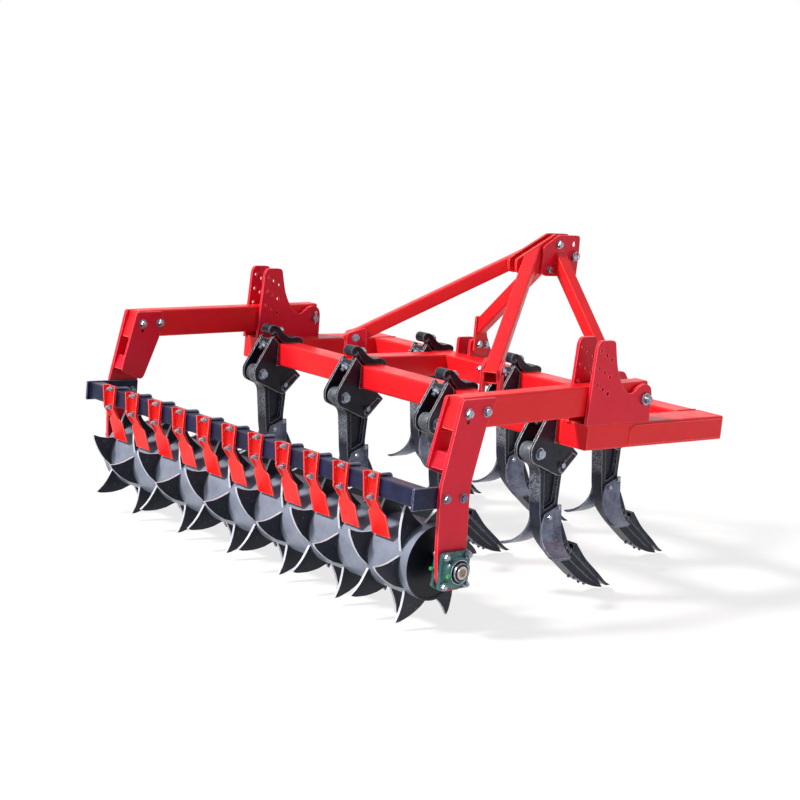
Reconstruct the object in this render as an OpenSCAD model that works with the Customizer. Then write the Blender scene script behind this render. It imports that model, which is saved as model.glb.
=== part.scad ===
// Mounted chisel plow with seven curved shanks in two rows and a toothed
// roller carried on two swinging arms.
// X runs across the machine, Y towards the tractor, Z up. The ground is z = 0.

/* [Frame] */
// Height of the frame's upper face above the ground
frame_top = 757; // [740:1:800]
// Overall width of the frame
frame_width = 2170; // [2150:5:2400]
// Height of all frame tubes
tube_h = 100; // [90:1:110]
// Depth of the two cross beams, front to back
beam_depth = 140; // [120:1:150]
// Clear distance between the two cross beams
beam_gap = 562; // [520:1:640]
// Width of the side tubes
side_tube_w = 140; // [130:1:150]
// Wall of the frame tubes
frame_wall = 8; // [5:0.5:12]
// Outer corner radius of the frame and arm tubes
tube_r = 10; // [6:1:14]
// Gap between an inner rail and the mounts of the front row
rail_gap = 2; // [1:0.5:6]
// Width of the inner rails
rail_w = 96; // [70:1:98]
// Thickness of the doubler on each side tube
doubler_t = 4; // [3:0.5:8]

/* [Side plates] */
// Thickness of the upright plates that hold the roller arms
side_plate_t = 14; // [10:1:16]
// Height of the upright plates above the frame
side_plate_h = 330; // [320:1:350]
// Diameter of the depth holes
depth_hole_d = 16; // [12:0.5:20]
// Distance between the rows of depth holes
depth_row = 65.7; // [60:0.1:70]

/* [Roller arms] */
// Width of an arm's tube
arm_w = 70; // [60:1:90]
// Height of an arm's tube
arm_h = 120; // [100:1:125]
// Wall of an arm's tube
arm_wall = 8; // [5:0.5:12]
// Free gap between an arm and each upright plate
arm_gap = 6; // [5:0.5:10]
// Diameter of the pins that the arms swing on
arm_pin_d = 30; // [24:1:34]
// Rise of the arms towards the front, in degrees
arm_rise = 1.6; // [0:0.1:3]
// Thickness of the outer arm plates
arm_plate_t = 16; // [12:1:18]
// Thickness of the short inner arm plates
arm_inner_t = 12; // [8:1:14]

/* [Roller] */
// Radius of the roller's drum
drum_r = 143; // [120:1:150]
// Wall of the drum
drum_wall = 8; // [6:0.5:12]
// Distance from the drum's end to each arm plate
drum_gap = 73; // [66:1:90]
// Radius to the tips of the teeth
tooth_tip_r = 260; // [240:1:262]
// Thickness of the teeth
tooth_t = 12; // [8:1:16]
// Number of tooth rings
ring_count = 12; // [8:2:14]
// Distance from the outermost tooth rings to the drum's ends
ring_margin = 43; // [20:1:60]
// Number of teeth on a ring
ring_teeth = 6; // [5:1:7]
// Turn of every other ring, in degrees
ring_turn = 22; // [0:1:40]
// Diameter of the roller's shaft ends
shaft_d = 50; // [40:1:55]

/* [Scrapers] */
// Side of the scraper beam's square tube
scraper_beam = 70; // [60:1:72]
// Width of a scraper's foot
scraper_w = 100; // [80:1:110]
// Width of a scraper's upper bracket
scraper_neck_w = 62; // [50:1:75]
// Thickness of the scrapers
scraper_t = 8; // [5:1:10]
// Gap between a scraper's edge and the drum
scraper_gap = 7; // [5:1:12]
// Shift of the row of scrapers from the middles between the rings
scraper_shift = -20; // [-22:1:22]

/* [Tines] */
// Distance from the outermost tines of the rear row to the side tubes
tine_margin = 69; // [66:1:100]
// Width of a shank
shank_w = 60; // [50:1:64]
// Depth of the side pockets in a shank
pocket_depth = 18; // [10:1:22]
// Thickness of a mount's cheek plates
cheek_t = 12; // [8:1:14]
// Free gap between a shank and each cheek
cheek_gap = 4; // [2:0.5:6]
// Width of the strap over the beam
strap_w = 56; // [40:1:64]
// Thickness of the strap over the beam
strap_t = 16; // [12:1:20]
// Width of the points
point_w = 64; // [50:1:76]
// Reach of a wing's end from the middle of its shank
wing_reach = 182; // [150:1:200]
// Thickness of the wings
wing_t = 8; // [6:1:10]

/* [Mast] */
// Thickness of the mast's head plates
head_t = 12; // [10:1:16]
// Gap between the mast's head plates
head_gap = 58; // [52:1:64]
// Diameter of the top link's pin
top_pin_d = 25.4; // [19:0.1:31.8]
// Side of the front legs' square tube
leg_w = 60; // [50:1:66]
// Side of the rear braces' square tube
brace_w = 60; // [50:1:66]
// Wall of the legs and braces
mast_wall = 5; // [3:0.5:8]
// Distance between the lower link points
link_spread = 866; // [840:1:880]
// Diameter of the lower link pins
link_pin_d = 28.4; // [22:0.1:36.6]
// Gap inside each lower link clevis
link_gap = 66; // [60:1:72]
// Thickness of the lower link plates
link_plate_t = 14; // [10:1:18]
// Thickness of the plates at the feet of the legs and braces
foot_plate_t = 12; // [8:1:14]

/* [Hidden] */
$fn = 48;

// Bores and pins
run_fit = 0.05;
pin_fit = 0.25;

// Frame, with y counted from the middle of the rear beam's first 100 mm
rear_face = -50;
beam_front = rear_face + beam_depth;
front_rear_face = beam_front + beam_gap;
frame_front = front_rear_face + beam_depth;
half_w = frame_width / 2;
cross_len = frame_width - 2 * side_tube_w;
row_step = front_rear_face - rear_face;
frame_low = frame_top - tube_h;

// Arms, with the tube's upper face 67 mm above the pivot
plate_out = half_w;
plate_gap = arm_w + 2 * arm_gap;
arm_x = plate_out - side_plate_t - plate_gap / 2;
pivot_y = 267;
pivot_z = frame_top + 93;
arm_back = 986;
arm_mitre = 35;
arm_nose = 33;
arm_low = -53;
arm_pin_len = plate_gap + 2 * side_plate_t;

// Roller
roller_y = -708;
tip_angles = [for (ring = [0, 1], k = [0:ring_teeth - 1])
    180 - ring * ring_turn + k * 360 / ring_teeth];
roller_z = max([for (a = tip_angles) -tooth_tip_r * sin(a)]);
arm_plate_x = arm_x + arm_w / 2;
drum_len = 2 * (arm_plate_x - drum_gap);
ring_pitch = (drum_len - 2 * ring_margin - tooth_t) / (ring_count - 1);
shaft_end_x = arm_plate_x + arm_plate_t + 56;

// Scraper beam
beam_y = -908;
beam_z = frame_top - 262;

// Tines
tine_pitch = (cross_len / 2 - tine_margin) / 1.5;
rear_tine_x = [for (i = [-1.5:1:1.5]) i * tine_pitch];
front_tine_x = [for (i = [-1:1:1]) i * tine_pitch];
cheek_in = shank_w / 2 + cheek_gap;
cheek_out = cheek_in + cheek_t;
tine_pivot = [-129, -140];
shear_spot = [2, -193];
pivot_bolt_d = 24;
shear_bolt_d = 14;
point_tip = [428, -738];
rail_x = tine_pitch - cheek_out - rail_gap - rail_w / 2;

// Mast
head_half = head_gap / 2 + head_t;
top_link_y = 925;
top_link_z = [588, 530, 472];
head_bolts = [[823, 584], [776, 470]];
link_y = 850;
link_z = -62;

// The part is drawn about the middle of its length
mid_y = (row_step + point_tip[0] + roller_y - tooth_tip_r) / 2;

// Outline helpers: points are [y, z, corner radius], z from the frame's top
function unit(v) = v / norm(v);
function corner(a, b, c, n = 4) =
    let (r = len(b) > 2 ? b[2] : 0, p = [b[0], b[1]], u = [a[0], a[1]] - p, w = [c[0], c[1]] - p)
    r <= 0 ? [p] :
    let (t = min(r, norm(u) * 0.48, norm(w) * 0.48), s = p + unit(u) * t, e = p + unit(w) * t)
    [for (k = [0:n]) let (q = k / n) (1 - q) * (1 - q) * s + 2 * q * (1 - q) * p + q * q * e];
function soft(pts, n = 4) =
    let (m = len(pts))
    [for (i = [0:m - 1]) each corner(pts[(i + m - 1) % m], pts[i], pts[(i + 1) % m], n)];

module placed() { translate([0, -mid_y, 0]) children(); }
module both_sides() { children(); mirror([1, 0, 0]) children(); }
// A plate in the plane of Y and Z, from x to x + t
module plate(pts, x, t) {
    translate([x, 0, 0]) rotate([90, 0, 90]) linear_extrude(t) polygon(soft(pts));
}
// A round bar along X
module bar_x(p, x, len, r) {
    translate([x, p[0], p[1]]) rotate([0, 90, 0]) cylinder(h = len, r = r);
}
// Section of a square or oblong tube with rounded corners
module section(x, y, w, h, wall, r = tube_r) {
    difference() {
        polygon(soft([[x, y, r], [x + w, y, r], [x + w, y + h, r], [x, y + h, r]], 3));
        if (wall > 0) section(x + wall, y + wall, w - 2 * wall, h - 2 * wall, 0, max(r - wall, 2));
    }
}
// Tubes with open ends along X and along Y
module tube_x(x, len, y, d, z, h, w) {
    translate([x, 0, 0]) rotate([90, 0, 90]) linear_extrude(len) section(y, z, d, h, w);
}
module tube_y(x, w0, y, len, z, h, w) {
    translate([0, y + len, 0]) rotate([90, 0, 0]) linear_extrude(len) section(x, z, w0, h, w);
}
// Turns the Z axis onto the line from a to b and keeps local Y level
module along(a, b) {
    v = b - a;
    translate(a) rotate([0, acos(v[2] / norm(v)), atan2(v[1], v[0])]) children();
}

// Frame
module rear_beam() {
    color("red") placed()
        tube_x(-cross_len / 2, cross_len, rear_face, beam_depth, frame_low, tube_h, frame_wall);
}
module front_beam() {
    color("red") placed()
        tube_x(-cross_len / 2, cross_len, front_rear_face, beam_depth, frame_low, tube_h,
            frame_wall);
}
module side_tubes() {
    color("red") placed() both_sides() {
        tube_y(half_w - side_tube_w, side_tube_w, rear_face, frame_front - rear_face, frame_low,
            tube_h, frame_wall);
        for (y = [rear_face, frame_front - frame_wall])
            tube_y(half_w - side_tube_w, side_tube_w, y, frame_wall, frame_low, tube_h, 0);
    }
}
module side_doublers() {
    z1 = frame_top - tube_r;
    z0 = frame_low + tube_r;
    y0 = 200;
    color("red") placed() both_sides()
        plate([[y0, z0, 4], [frame_front - 10, z0, 4], [frame_front - 10, z1, 4], [y0, z1, 40]],
            half_w, doubler_t);
}
module inner_rails() {
    color("red") placed() both_sides()
        tube_y(rail_x - rail_w / 2, rail_w, beam_front, beam_gap, frame_low, tube_h, frame_wall);
}

// Upright plates with the arms' pivot and the grid of depth holes
side_outline = [[-63, 0, 0], [-60, 60, 10], [-48, side_plate_h - 22, 12],
    [-34, side_plate_h, 16], [52, side_plate_h, 18], [66, 272, 20], [80, 222, 30],
    [108, 168, 30], [142, 128, 40], [185, 112, 30], [226, 146, 30], [262, 156, 26],
    [298, 140, 20], [306, 108, 10], [309, 0, 0]];
module side_plate(x) {
    difference() {
        translate([0, 0, frame_top]) plate(side_outline, x, side_plate_t);
        for (row = [0:2], col = [0:2])
            bar_x([-25 + 33.8 * col - 1.6 * row, frame_top + side_plate_h - 40.5
                - 18.1 * col - depth_row * row], x - 1, side_plate_t + 2, depth_hole_d / 2);
        bar_x([pivot_y, pivot_z], x - 1, side_plate_t + 2, arm_pin_d / 2 + pin_fit);
    }
}
module side_plates_outer() {
    color("crimson") placed() both_sides() side_plate(plate_out - side_plate_t);
}
module side_plates_inner() {
    color("crimson") placed() both_sides()
        side_plate(plate_out - 2 * side_plate_t - plate_gap);
}
module arm_pins() {
    x0 = plate_out - 2 * side_plate_t - plate_gap;
    color("silver") placed() both_sides() {
        bar_x([pivot_y, pivot_z], x0 - 24, arm_pin_len + 24, arm_pin_d / 2);
        bar_x([pivot_y, pivot_z], plate_out, 26, arm_pin_d / 2 + 2);
    }
}

// Mast
head_outline = [[723, 452, 10], [723, 573, 14], [816, 628, 12], [958, 628, 16],
    [962, 540, 20], [958, 440, 12], [752, 440, 24]];
module mast_head_plates() {
    color("crimson") placed() both_sides() difference() {
        translate([0, 0, frame_top]) plate(head_outline, head_gap / 2, head_t);
        for (z = top_link_z)
            bar_x([top_link_y, frame_top + z], head_gap / 2 - 1, head_t + 2, top_pin_d / 2 + pin_fit);
        for (p = head_bolts)
            bar_x([p[0], frame_top + p[1]], head_gap / 2 - 1, head_t + 2, 10);
    }
}
leg_top = [52, 834, frame_top + 500];
leg_foot = [446, 796, frame_top + 70];
foot_x = link_spread / 2 - link_gap / 2 - link_plate_t - foot_plate_t;
foot_bolts = [[797, 59], [843, 56]];
foot_outline = [[764, 24, 12], [764, 192, 8], [834, 192, 10], [842, 104, 20], [867, 57, 20],
    [846, 8, 16], [800, 8, 8]];
// A square tube of the given side about the line from a to b, from s to s + len along it
module strut(a, b, side, s, len) {
    along(a, b) translate([0, 0, s]) linear_extrude(len)
        section(-side / 2, -side / 2, side, side, mast_wall, 8);
}
module mast_front_legs() {
    reach = norm(leg_top - leg_foot) + 200;
    color("red") placed() both_sides() {
        intersection() {
            strut(leg_foot, leg_top, leg_w, -50, reach);
            translate([head_half, leg_foot[1] - 200, frame_top])
                cube([foot_x - head_half, 500, reach]);
        }
        difference() {
            translate([0, 0, frame_top]) plate(foot_outline, foot_x, foot_plate_t);
            for (p = foot_bolts)
                bar_x([p[0], frame_top + p[1]], foot_x - 1, foot_plate_t + 2, 8.5);
        }
    }
}
brace_foot = [437, 63, frame_top + 97];
brace_top = [-47, 770, frame_top + 596];
brace_end = 50;
brace_turn = atan2(brace_top[1] - brace_foot[1], brace_top[0] - brace_foot[0]);
ear_outline = [[574, 450, 24], [566, 512, 16], [808, 632, 14], [852, 612, 14], [830, 480, 20],
    [780, 446, 16]];
module mast_rear_braces() {
    ear_x = head_gap / 2 - head_t - 0.5;
    reach = norm(brace_top - brace_foot) + 100;
    color("red") placed() both_sides() {
        intersection() {
            strut(brace_foot, brace_top, brace_w, -brace_end, reach);
            translate([ear_x + head_t, brace_foot[1] - 400, frame_top])
                cube([brace_foot[0] + 300, reach + 400, reach]);
        }
        difference() {
            translate([0, 0, frame_top]) plate(ear_outline, ear_x, head_t);
            for (p = head_bolts)
                bar_x([p[0], frame_top + p[1]], 0, head_gap, 10);
        }
    }
}
clevis_outline = [[-38, 0, 0], [-40, 113, 12], [42, 146, 14], [50, 96, 20], [50, 0, 0]];
module brace_clevises() {
    color("red") placed() both_sides() for (s = [-1, 1])
        translate([brace_foot[0], brace_foot[1], 0]) rotate([0, 0, brace_turn - 90])
            translate([s * (brace_w / 2 + 1 + foot_plate_t / 2) - foot_plate_t / 2, 0, 0])
                difference() {
                    translate([0, 0, frame_top]) plate(clevis_outline, 0, foot_plate_t);
                    bar_x([0, brace_foot[2]], -1, foot_plate_t + 2, 8.5);
                }
}

// Lower link clevises on the front beam
module lower_link_plates() {
    color("crimson") placed() both_sides() for (s = [-1, 1]) {
        x = link_spread / 2 + s * (link_gap + link_plate_t) / 2 - link_plate_t / 2;
        difference() {
            plate([[frame_front - 40, frame_top, 0], [frame_front - 40, frame_top + 78, 14],
                [frame_front + 66, frame_top + 78, 20], [link_y + 52, frame_top + 20, 20],
                [link_y + 46, frame_top + link_z - 46, 30], [link_y - 30, frame_top + link_z - 60, 20],
                [frame_front, frame_low - 20, 10], [frame_front, frame_top, 0]], x, link_plate_t);
            bar_x([link_y, frame_top + link_z], x - 1, link_plate_t + 2, link_pin_d / 2 + pin_fit);
            if (s < 0) for (p = foot_bolts)
                bar_x([p[0], frame_top + p[1]], x - 1, link_plate_t + 2, 8.5);
        }
    }
}
module lower_link_pins() {
    l = link_gap + 2 * link_plate_t + 30;
    color("silver") placed() both_sides() {
        bar_x([link_y, frame_top + link_z], link_spread / 2 - l / 2, l, link_pin_d / 2);
        bar_x([link_y, frame_top + link_z], link_spread / 2 + l / 2, 8, link_pin_d / 2 + 6);
    }
}
module top_link_pin() {
    l = 2 * head_half + 36;
    color("silver") placed() {
        bar_x([top_link_y, frame_top + top_link_z[1]], -l / 2, l, top_pin_d / 2);
        bar_x([top_link_y, frame_top + top_link_z[1]], -l / 2 - 8, 8, top_pin_d / 2 + 6);
    }
}

// Tine mounts. y is counted from the middle of the beam's first 100 mm
cheek_outline = [[-178, -118, 16], [-86, 34, 8], [-50.3, 4, 0], [-50.3, -100.3, 0],
    [30, -100.3, 0], [97, -153, 6], [18, -229, 16], [-6, -238, 16], [-172, -170, 24]];
pad_outline = [[-16, -208, 16], [58, -146, 6], [84, -158, 6], [6, -228, 16]];
module mount_cheeks(xs, y0) {
    color("dimgray") placed() for (x0 = xs) translate([x0, y0, frame_top]) {
        difference() {
            both_sides() {
                plate(cheek_outline, cheek_in, cheek_t);
                plate(pad_outline, cheek_out, 6);
            }
            bar_x(tine_pivot, -cheek_out - 10, 2 * cheek_out + 20, pivot_bolt_d / 2 + pin_fit);
            bar_x(shear_spot, -cheek_out - 10, 2 * cheek_out + 20, shear_bolt_d / 2 + pin_fit);
        }
        plate([[-106, -2, 3], [-86, 22, 3], [-70, 10, 3], [-90, -14, 3]], -cheek_in, 2 * cheek_in);
    }
}
module rear_mount_cheeks() { mount_cheeks(rear_tine_x, 0); }
module front_mount_cheeks() { mount_cheeks(front_tine_x, row_step); }
hook_y = beam_front + 0.3;
strap_outline = [[hook_y, -24, 2], [hook_y, 0.3], [-8, 0.3, 4], [-38, 22, 8], [-56, 48, 6],
    [-66, 62, 6], [-78, 46, 4], [-98, 50, 4], [-92, 76, 10], [-68, 86, 14], [-38, 74, 12],
    [-6, 44, 16], [34, 24, 16], [hook_y - 12, 30, 20], [hook_y + strap_t + 6, 14, 14],
    [hook_y + strap_t, -24, 4]];
module mount_straps(xs, y0) {
    color("dimgray") placed() for (x0 = xs) translate([x0, y0, frame_top])
        plate(strap_outline, -strap_w / 2, strap_w);
}
module rear_mount_straps() { mount_straps(rear_tine_x, 0); }
module front_mount_straps() { mount_straps(front_tine_x, row_step); }

// Shanks, points and wings
shank_outline = [[-152, -176, 20], [-108, -200, 16], [-96, -222, 16], [-92, -250, 30],
    [-78, -340, 30], [-70, -396, 40], [-42, -490, 60], [36, -566, 60], [200, -688, 40],
    [300, -728, 30], [362, -738, 4], [330, -700, 10], [240, -626, 30], [150, -560, 20],
    [126, -540, 10], [76, -450, 40], [44, -402, 30], [26, -356, 30], [30, -250, 10],
    [30, -212, 10], [14, -180, 20], [8, -150, 10], [-60, -112, 20]];
pocket_outline = [[-72, -214, 12], [-50, -376, 8], [8, -350, 8], [14, -212, 12]];
module shanks(xs, y0) {
    eye_r = 37;
    color("dimgray") placed() for (x0 = xs) translate([x0, y0, frame_top]) difference() {
        union() {
            plate(shank_outline, -shank_w / 2, shank_w);
            bar_x(tine_pivot, -shank_w / 2, shank_w, eye_r);
        }
        both_sides() plate(pocket_outline, shank_w / 2 - pocket_depth, pocket_depth + 1);
        bar_x(tine_pivot, -shank_w, 2 * shank_w, pivot_bolt_d / 2 + pin_fit);
        bar_x(shear_spot, -shank_w, 2 * shank_w, shear_bolt_d / 2 + pin_fit);
    }
}
module rear_shanks() { shanks(rear_tine_x, 0); }
module front_shanks() { shanks(front_tine_x, row_step); }
module pivot_bolts(xs, y0) {
    placed() for (x0 = xs) translate([x0, y0, frame_top]) {
        bar_x(tine_pivot, -cheek_out - 18, 2 * cheek_out + 18, pivot_bolt_d / 2);
        translate([cheek_out, tine_pivot[0], tine_pivot[1]]) rotate([0, 90, 0])
            cylinder(h = 15, r = 20.5, $fn = 6);
        translate([-cheek_out - 18, tine_pivot[0], tine_pivot[1]]) rotate([0, 90, 0])
            cylinder(h = 18, r = 20.5, $fn = 6);
        bar_x(shear_spot, -cheek_out - 14, 2 * cheek_out + 14 + 6, shear_bolt_d / 2);
        translate([cheek_out + 6, shear_spot[0], shear_spot[1]]) rotate([0, 90, 0])
            cylinder(h = 9, r = 12, $fn = 6);
    }
}
module tine_pivot_bolts() {
    color("silver") { pivot_bolts(rear_tine_x, 0); pivot_bolts(front_tine_x, row_step); }
}
point_outline = [[150, -536, 3], [168, -530, 3], [236, -604, 30], [point_tip[0] - 40, -720, 30],
    [point_tip[0], point_tip[1]], [point_tip[0] - 30, point_tip[1], 6], [330.4, -699.6, 10],
    [240.4, -625.6, 30], [150.4, -559.6]];
module points(xs, y0) {
    color("dimgray") placed() for (x0 = xs) translate([x0, y0, frame_top]) intersection() {
        plate(point_outline, -point_w / 2, point_w);
        translate([0, 0, -900]) linear_extrude(500) polygon([[-point_w / 2, 100],
            [point_w / 2, 100], [point_w / 2, 330], [18, point_tip[0] + 1],
            [-18, point_tip[0] + 1], [-point_w / 2, 330]]);
    }
}
module rear_points() { points(rear_tine_x, 0); }
module front_points() { points(front_tine_x, row_step); }
// A wing is a strip that leaves the shank upright and curls outwards
function curl(x, w) = [for (k = [0:8]) let (a = 90 * pow(k / 8, 1.2), r = w - x)
    [x + r * (1 - cos(a * 0.86)), -430 - 0.8 * r * sin(a * 0.86)]];
wing_side = [[-52, -392, 8], [42, -356, 8], [52, -430, 20], [44, -500, 30], [-20, -572, 8],
    [-92, -548, 8], [-66, -470, 30]];
module wings(xs, y0) {
    x = shank_w / 2;
    color("slategray") placed() for (x0 = xs) translate([x0, y0, frame_top]) both_sides()
        intersection() {
            translate([0, 60, 0]) rotate([90, 0, 0]) linear_extrude(160) polygon(concat(
                [[x + wing_t, -340]], [for (p = curl(x + wing_t, wing_reach)) p],
                [for (k = [8:-1:0]) curl(x, wing_reach - 4)[k] - [0, wing_t * k / 8]],
                [[x, -340]]));
            plate(wing_side, x - 1, wing_reach + 10);
        }
}
module rear_wings() { wings(rear_tine_x, 0); }
module front_wings() { wings(front_tine_x, row_step); }

// Roller arms
// A closed box tube along the arm from its mitred rear end to its nose, inset by e all round
module arm_box(e) {
    difference() {
        translate([arm_x, arm_nose - e, 0]) rotate([90, 0, 0])
            linear_extrude(arm_nose + arm_back + arm_mitre)
                section(e - arm_w / 2, e + arm_low, arm_w - 2 * e, arm_h - 2 * e, 0, max(tube_r - e, 2));
        plate([[-arm_back + e, arm_low + arm_h + 1], [-arm_back - arm_mitre + e, arm_low - 1],
            [-arm_back - 2 * arm_mitre, arm_low - 1], [-arm_back - 2 * arm_mitre, arm_low + arm_h + 1]],
            arm_x - arm_w, 2 * arm_w);
    }
}
module arm_body() {
    difference() {
        translate([0, pivot_y, pivot_z]) rotate([arm_rise, 0, 0]) difference() {
            arm_box(0);
            arm_box(arm_wall);
        }
        bar_x([pivot_y, pivot_z], arm_x - arm_w, 2 * arm_w, arm_pin_d / 2 + run_fit);
    }
    difference() {
        bar_x([pivot_y, pivot_z], arm_x - arm_w / 2 + arm_wall, arm_w - 2 * arm_wall,
            arm_pin_d / 2 + 7);
        bar_x([pivot_y, pivot_z], arm_x - arm_w, 2 * arm_w, arm_pin_d / 2 + run_fit);
    }
}
module arm_right() { color("red") placed() arm_body(); }
module arm_left() { color("red") placed() mirror([1, 0, 0]) arm_body(); }
arm_outer_outline = [[-738, 128, 12], [-704, 128, 8], [-566, 131, 8], [-609, 19, 4],
    [-659, -198, 40], [-644, -425, 30], [-640, -560, 24], [-660, -580, 16], [-745, -580, 16],
    [-776, -540, 20], [-792, -421, 30], [-806, -205, 40]];
module arm_outer_plates() {
    color("crimson") placed() both_sides() difference() {
        translate([0, 0, frame_top]) plate(arm_outer_outline, arm_plate_x, arm_plate_t);
        bar_x([roller_y, roller_z], arm_plate_x - 1, arm_plate_t + 2, 38);
        for (s = [-1, 1], t = [-1, 1])
            bar_x([roller_y + s * 55.5, roller_z + t * 55.5], arm_plate_x - 1, arm_plate_t + 2, 8.5);
    }
}
// The inner plates carry a spacer block that reaches to the outer plates
arm_inner_outline = [[-738, 128, 12], [-600, 131, 8], [-612, 12, 8], [-685, -177, 24],
    [-800, -135, 24]];
spacer_outline = [[-763, -72], [-660, -72], [-690, -131], [-785, -131]];
module arm_inner_plates() {
    color("crimson") placed() both_sides() translate([0, 0, frame_top]) {
        plate(arm_inner_outline, arm_x - arm_w / 2 - arm_inner_t, arm_inner_t);
        plate(spacer_outline, arm_x - arm_w / 2, arm_w);
    }
}

// Scrapers
module scraper_beam_tube() {
    l = 2 * (arm_plate_x - 10);
    color("dimgray") placed()
        tube_x(-l / 2, l, beam_y, scraper_beam, beam_z, scraper_beam, 6);
}
module scraper_end_plates() {
    color("dimgray") placed() both_sides() translate([0, 0, 0])
        plate([[beam_y - 14, beam_z - 8, 4], [beam_y - 14, beam_z + scraper_beam + 4, 4],
            [beam_y + 250, beam_z + scraper_beam + 4, 10], [beam_y + 250, beam_z - 8, 10]],
            arm_plate_x - 10, 10);
}
scraper_x = [for (i = [-(ring_count - 2) / 2:1:(ring_count - 2) / 2]) i * ring_pitch
    + scraper_shift];
foot_a = 142;
foot = [roller_y + (drum_r + scraper_gap) * cos(foot_a), roller_z + (drum_r + scraper_gap) * sin(foot_a)];
module scrapers() {
    y1 = beam_y - scraper_t;
    color("red") placed() for (x0 = scraper_x) translate([x0, 0, 0]) intersection() {
        plate([[y1, beam_z + scraper_beam + 12, 2], [beam_y, beam_z + scraper_beam + 12, 2],
            [beam_y, beam_z - 6, 6], foot, [foot[0] - scraper_t, foot[1] - 1], [y1, beam_z - 8, 8]],
            -scraper_w, 2 * scraper_w);
        translate([0, 0, 0]) rotate([90, 0, 0]) translate([0, 0, 500]) linear_extrude(800)
            polygon([[-scraper_neck_w / 2, beam_z + 200], [scraper_neck_w / 2, beam_z + 200],
                [scraper_neck_w / 2, beam_z - 20], [scraper_w / 2, foot[1] + 20],
                [scraper_w / 2, foot[1] - 30], [-scraper_w / 2, foot[1] - 30],
                [-scraper_w / 2, foot[1] + 20], [-scraper_neck_w / 2, beam_z - 20]]);
    }
}

// Roller
module bearing_housings() {
    x = arm_plate_x + arm_plate_t;
    color("teal") placed() both_sides() difference() {
        union() {
            plate([[roller_y - 71.5, roller_z - 71.5, 16], [roller_y + 71.5, roller_z - 71.5, 16],
                [roller_y + 71.5, roller_z + 71.5, 16], [roller_y - 71.5, roller_z + 71.5, 16]],
                x, 16);
            bar_x([roller_y, roller_z], x, 38, 54);
            bar_x([roller_y, roller_z], x, 50, 35);
        }
        bar_x([roller_y, roller_z], x - 1, 60, shaft_d / 2 + run_fit);
        for (s = [-1, 1], t = [-1, 1])
            bar_x([roller_y + s * 55.5, roller_z + t * 55.5], x - 1, 18, 8.5);
    }
}
module roller_drum() {
    color("dimgray") placed() difference() {
        bar_x([roller_y, roller_z], -drum_len / 2, drum_len, drum_r);
        bar_x([roller_y, roller_z], -drum_len / 2 - 1, drum_len + 2, drum_r - drum_wall);
    }
}
module roller_shafts() {
    disc_t = 12;
    x0 = drum_len / 2 - 20;
    color("gray") placed() both_sides() {
        bar_x([roller_y, roller_z], x0 - 120, shaft_end_x - x0 + 120, shaft_d / 2);
        bar_x([roller_y, roller_z], x0, disc_t, drum_r - drum_wall - 0.2);
        bar_x([roller_y, roller_z], x0 + disc_t, arm_plate_x - 6 - x0 - disc_t, 33);
    }
}
// A tooth, in polar form: [angle from the tip, share of the way from drum to tip]
tooth_edge = [[-13, -0.1], [-12, 0.02], [-7, 0.2], [-2.5, 0.45], [-0.5, 0.7], [0, 1], [4, 0.9], [8, 0.77],
    [14, 0.6], [20, 0.44], [27, 0.28], [34, 0.12], [41, 0.01], [42, -0.1]];
module roller_teeth() {
    color("dimgray") placed() difference() {
        for (i = [0:ring_count - 1], k = [0:ring_teeth - 1])
            translate([(i - (ring_count - 1) / 2) * ring_pitch - tooth_t / 2, roller_y, roller_z])
                rotate([180 - ((i + 1) % 2) * ring_turn + k * 360 / ring_teeth, 0, 0])
                    rotate([90, 0, 90]) linear_extrude(tooth_t) polygon(
                        [for (p = tooth_edge) let (r = drum_r + (tooth_tip_r - drum_r) * p[1])
                            [r * cos(p[0]), r * sin(p[0])]]);
        bar_x([roller_y, roller_z], -drum_len / 2, drum_len, drum_r + 0.2);
    }
}

rear_beam();
front_beam();
side_tubes();
side_doublers();
inner_rails();
side_plates_outer();
side_plates_inner();
arm_pins();
mast_head_plates();
mast_front_legs();
mast_rear_braces();
brace_clevises();
lower_link_plates();
lower_link_pins();
top_link_pin();
rear_mount_cheeks();
front_mount_cheeks();
rear_mount_straps();
front_mount_straps();
rear_shanks();
front_shanks();
tine_pivot_bolts();
rear_points();
front_points();
rear_wings();
front_wings();
arm_left();
arm_right();
arm_outer_plates();
arm_inner_plates();
scraper_beam_tube();
scraper_end_plates();
scrapers();
bearing_housings();
roller_drum();
roller_shafts();
roller_teeth();
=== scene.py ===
import math

import bpy
from mathutils import Matrix, Vector


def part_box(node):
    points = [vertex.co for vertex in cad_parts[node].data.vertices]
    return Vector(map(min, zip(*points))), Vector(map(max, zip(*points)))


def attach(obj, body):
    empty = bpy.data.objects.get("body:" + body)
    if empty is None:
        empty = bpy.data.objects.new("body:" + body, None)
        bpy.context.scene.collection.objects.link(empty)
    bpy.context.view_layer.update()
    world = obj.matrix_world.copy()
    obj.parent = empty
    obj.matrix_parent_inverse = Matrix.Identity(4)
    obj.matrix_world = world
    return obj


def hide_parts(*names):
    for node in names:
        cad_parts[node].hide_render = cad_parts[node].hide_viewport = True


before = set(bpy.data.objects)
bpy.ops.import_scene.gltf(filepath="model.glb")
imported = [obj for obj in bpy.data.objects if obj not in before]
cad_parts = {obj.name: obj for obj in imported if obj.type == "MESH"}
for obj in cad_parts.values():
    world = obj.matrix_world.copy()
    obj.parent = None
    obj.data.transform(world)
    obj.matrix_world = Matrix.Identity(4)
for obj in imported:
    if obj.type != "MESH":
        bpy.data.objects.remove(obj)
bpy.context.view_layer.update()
print("stage: frame loaded")

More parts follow.
